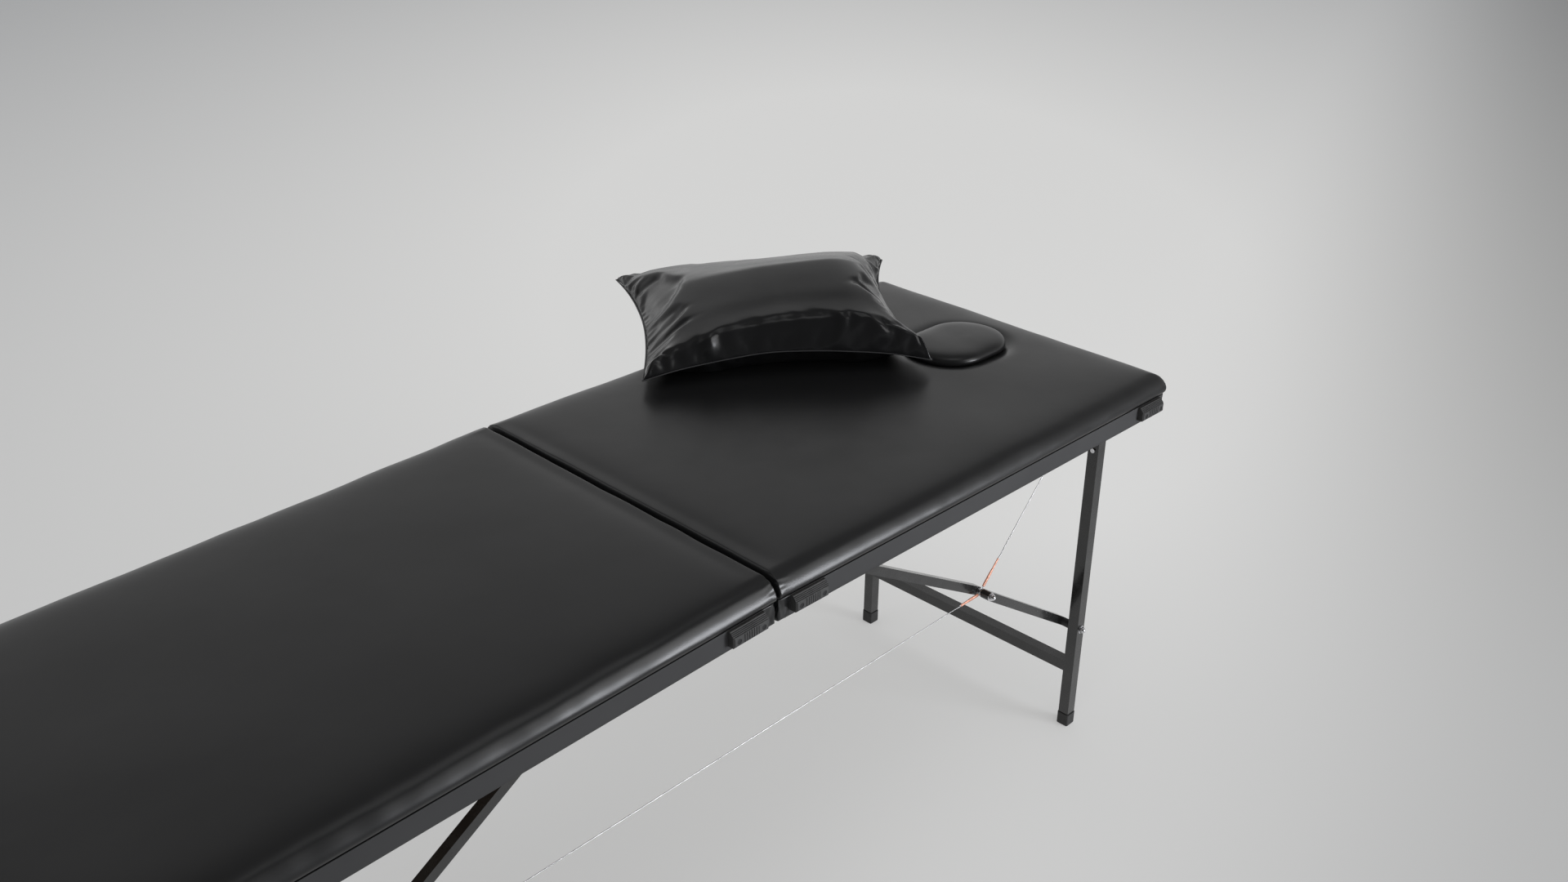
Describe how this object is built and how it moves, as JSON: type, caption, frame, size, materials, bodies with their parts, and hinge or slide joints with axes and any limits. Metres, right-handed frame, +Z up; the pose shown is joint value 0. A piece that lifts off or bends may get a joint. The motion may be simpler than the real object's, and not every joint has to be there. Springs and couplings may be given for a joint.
{
  "type": "folding treatment couch",
  "caption": "Folding padded couch in two hinged halves, with square tube legs, cable-braced folding struts, a face hole with its plug and a loose square pillow.",
  "frame": {"origin": "on the floor, under the centre hinge, at the middle of the whole outline across, pillow included", "axes": "+X towards the head end, +Y towards the side where the pillow hangs over, +Z up"},
  "size_m": [1.8044, 0.8906, 0.8211],
  "materials": {
    "leatherette": "satin",
    "foam": "matt",
    "board": "matt",
    "frame_paint": "satin",
    "leg_paint": "gloss",
    "zinc": "bright",
    "cable": "bright",
    "sleeve": "satin",
    "black_plastic": "matt",
    "black_screw": "satin",
    "black_rubber": "matt"
  },
  "bodies": {
    "foot_half": {"foot_cover": "leatherette", "foot_foam": "foam", "foot_board": "board", "foot_side_rails": "frame_paint", "foot_cross_rails": "frame_paint", "foot_link_brackets": "frame_paint", "foot_leg_brackets": "frame_paint", "foot_pivot_bolts": "zinc", "foot_corner_blocks": "black_plastic", "foot_screws": "black_screw", "foot_hinge_leaves": "zinc", "foot_cable_anchors": "frame_paint", "foot_end_cables": "cable", "foot_mid_cables": "cable", "foot_cable_sleeves": "sleeve", "hinge_pins": "zinc", "handle_mounts": "black_plastic", "latch_bases": "zinc"},
    "head_half": {"head_cover": "leatherette", "head_foam": "foam", "head_board": "board", "head_side_rails": "frame_paint", "head_cross_rails": "frame_paint", "head_link_brackets": "frame_paint", "head_leg_brackets": "frame_paint", "head_pivot_bolts": "zinc", "head_corner_blocks": "black_plastic", "head_screws": "black_screw", "head_hinge_leaves": "zinc", "head_cable_anchors": "frame_paint", "head_end_cables": "cable", "head_mid_cables": "cable", "head_cable_sleeves": "sleeve", "latch_catches": "zinc"},
    "foot_leg_frame": {"foot_legs": "leg_paint", "foot_leg_crossbar": "leg_paint", "foot_leg_caps": "black_rubber", "foot_leg_screws": "zinc", "foot_brace_bolts": "zinc", "foot_brace_spacers": "black_rubber"},
    "foot_upper_braces": {"foot_upper_links": "leg_paint", "foot_knee_spools": "zinc"},
    "foot_lower_braces": {"foot_lower_links": "leg_paint", "foot_knee_bolts": "zinc"},
    "head_leg_frame": {"head_legs": "leg_paint", "head_leg_crossbar": "leg_paint", "head_leg_caps": "black_rubber", "head_leg_screws": "zinc", "head_brace_bolts": "zinc", "head_brace_spacers": "black_rubber"},
    "head_upper_braces": {"head_upper_links": "leg_paint", "head_knee_spools": "zinc"},
    "head_lower_braces": {"head_lower_links": "leg_paint", "head_knee_bolts": "zinc"},
    "pillow": {"pillow": "leatherette"},
    "face_plug": {"face_plug": "leatherette"},
    "carry_handle": {"carry_handle": "black_plastic"},
    "latch_lever_inner": {"latch_lever_inner": "zinc"},
    "latch_lever_outer": {"latch_lever_outer": "zinc"}
  },
  "joints": [
    {"name": "fold", "type": "hinge", "parent": "foot_half", "child": "head_half", "pos_m": [0, -0.126, 0.634], "axis": [0, 1, 0], "range_deg": [0, 105], "deforming": ["foot_end_cables", "foot_mid_cables", "foot_cable_sleeves", "head_end_cables", "head_mid_cables", "head_cable_sleeves"]},
    {"name": "foot_leg_fold", "type": "hinge", "parent": "foot_half", "child": "foot_leg_frame", "pos_m": [-0.82493, -0.126, 0.62974], "axis": [0, -1, 0], "range_deg": [0, 90.5]},
    {"name": "foot_upper_brace_fold", "type": "hinge", "parent": "foot_half", "child": "foot_upper_braces", "pos_m": [-0.0889, -0.126, 0.66206], "axis": [0, 1, 0], "range_deg": [0, 30.38]},
    {"name": "foot_lower_brace_fold", "type": "hinge", "parent": "foot_leg_frame", "child": "foot_lower_braces", "pos_m": [-0.81707, -0.126, 0.2045], "axis": [0, -1, 0], "range_deg": [0, 52.95]},
    {"name": "head_leg_fold", "type": "hinge", "parent": "head_half", "child": "head_leg_frame", "pos_m": [0.82493, -0.126, 0.62974], "axis": [0, 1, 0], "range_deg": [0, 90.5]},
    {"name": "head_upper_brace_fold", "type": "hinge", "parent": "head_half", "child": "head_upper_braces", "pos_m": [0.0889, -0.126, 0.66206], "axis": [0, -1, 0], "range_deg": [0, 30.38]},
    {"name": "head_lower_brace_fold", "type": "hinge", "parent": "head_leg_frame", "child": "head_lower_braces", "pos_m": [0.81707, -0.126, 0.2045], "axis": [0, 1, 0], "range_deg": [0, 52.95]},
    {"name": "pillow_lift", "type": "slide", "parent": "head_half", "child": "pillow", "axis": [0.0185, 0, 0.9998], "range_m": [0, 0.3]},
    {"name": "plug_lift", "type": "slide", "parent": "head_half", "child": "face_plug", "axis": [0.0185, 0, 0.9998], "range_m": [0, 0.12]},
    {"name": "handle_swing", "type": "hinge", "parent": "foot_half", "child": "carry_handle", "pos_m": [-0.45133, 0.1885, 0.65465], "axis": [0.9998, 0, 0.0185], "range_deg": [0, 90]},
    {"name": "latch_inner_swing", "type": "hinge", "parent": "foot_half", "child": "latch_lever_inner", "pos_m": [-0.18183, 0.1895, 0.65164], "axis": [0.9998, 0, 0.0185], "range_deg": [0, 90]},
    {"name": "latch_outer_swing", "type": "hinge", "parent": "foot_half", "child": "latch_lever_outer", "pos_m": [-0.72054, 0.1895, 0.64167], "axis": [0.9998, 0, 0.0185], "range_deg": [0, 90]}
  ],
  "couplings": [
    {"joint": "foot_leg_fold", "follows": "fold", "ratio": 0.85714},
    {"joint": "foot_upper_brace_fold", "follows": "fold", "ratio": 0.28458},
    {"joint": "foot_lower_brace_fold", "follows": "fold", "ratio": 0.49955},
    {"joint": "head_leg_fold", "follows": "fold", "ratio": 0.85714},
    {"joint": "head_upper_brace_fold", "follows": "fold", "ratio": 0.28458},
    {"joint": "head_lower_brace_fold", "follows": "fold", "ratio": 0.49955}
  ]
}
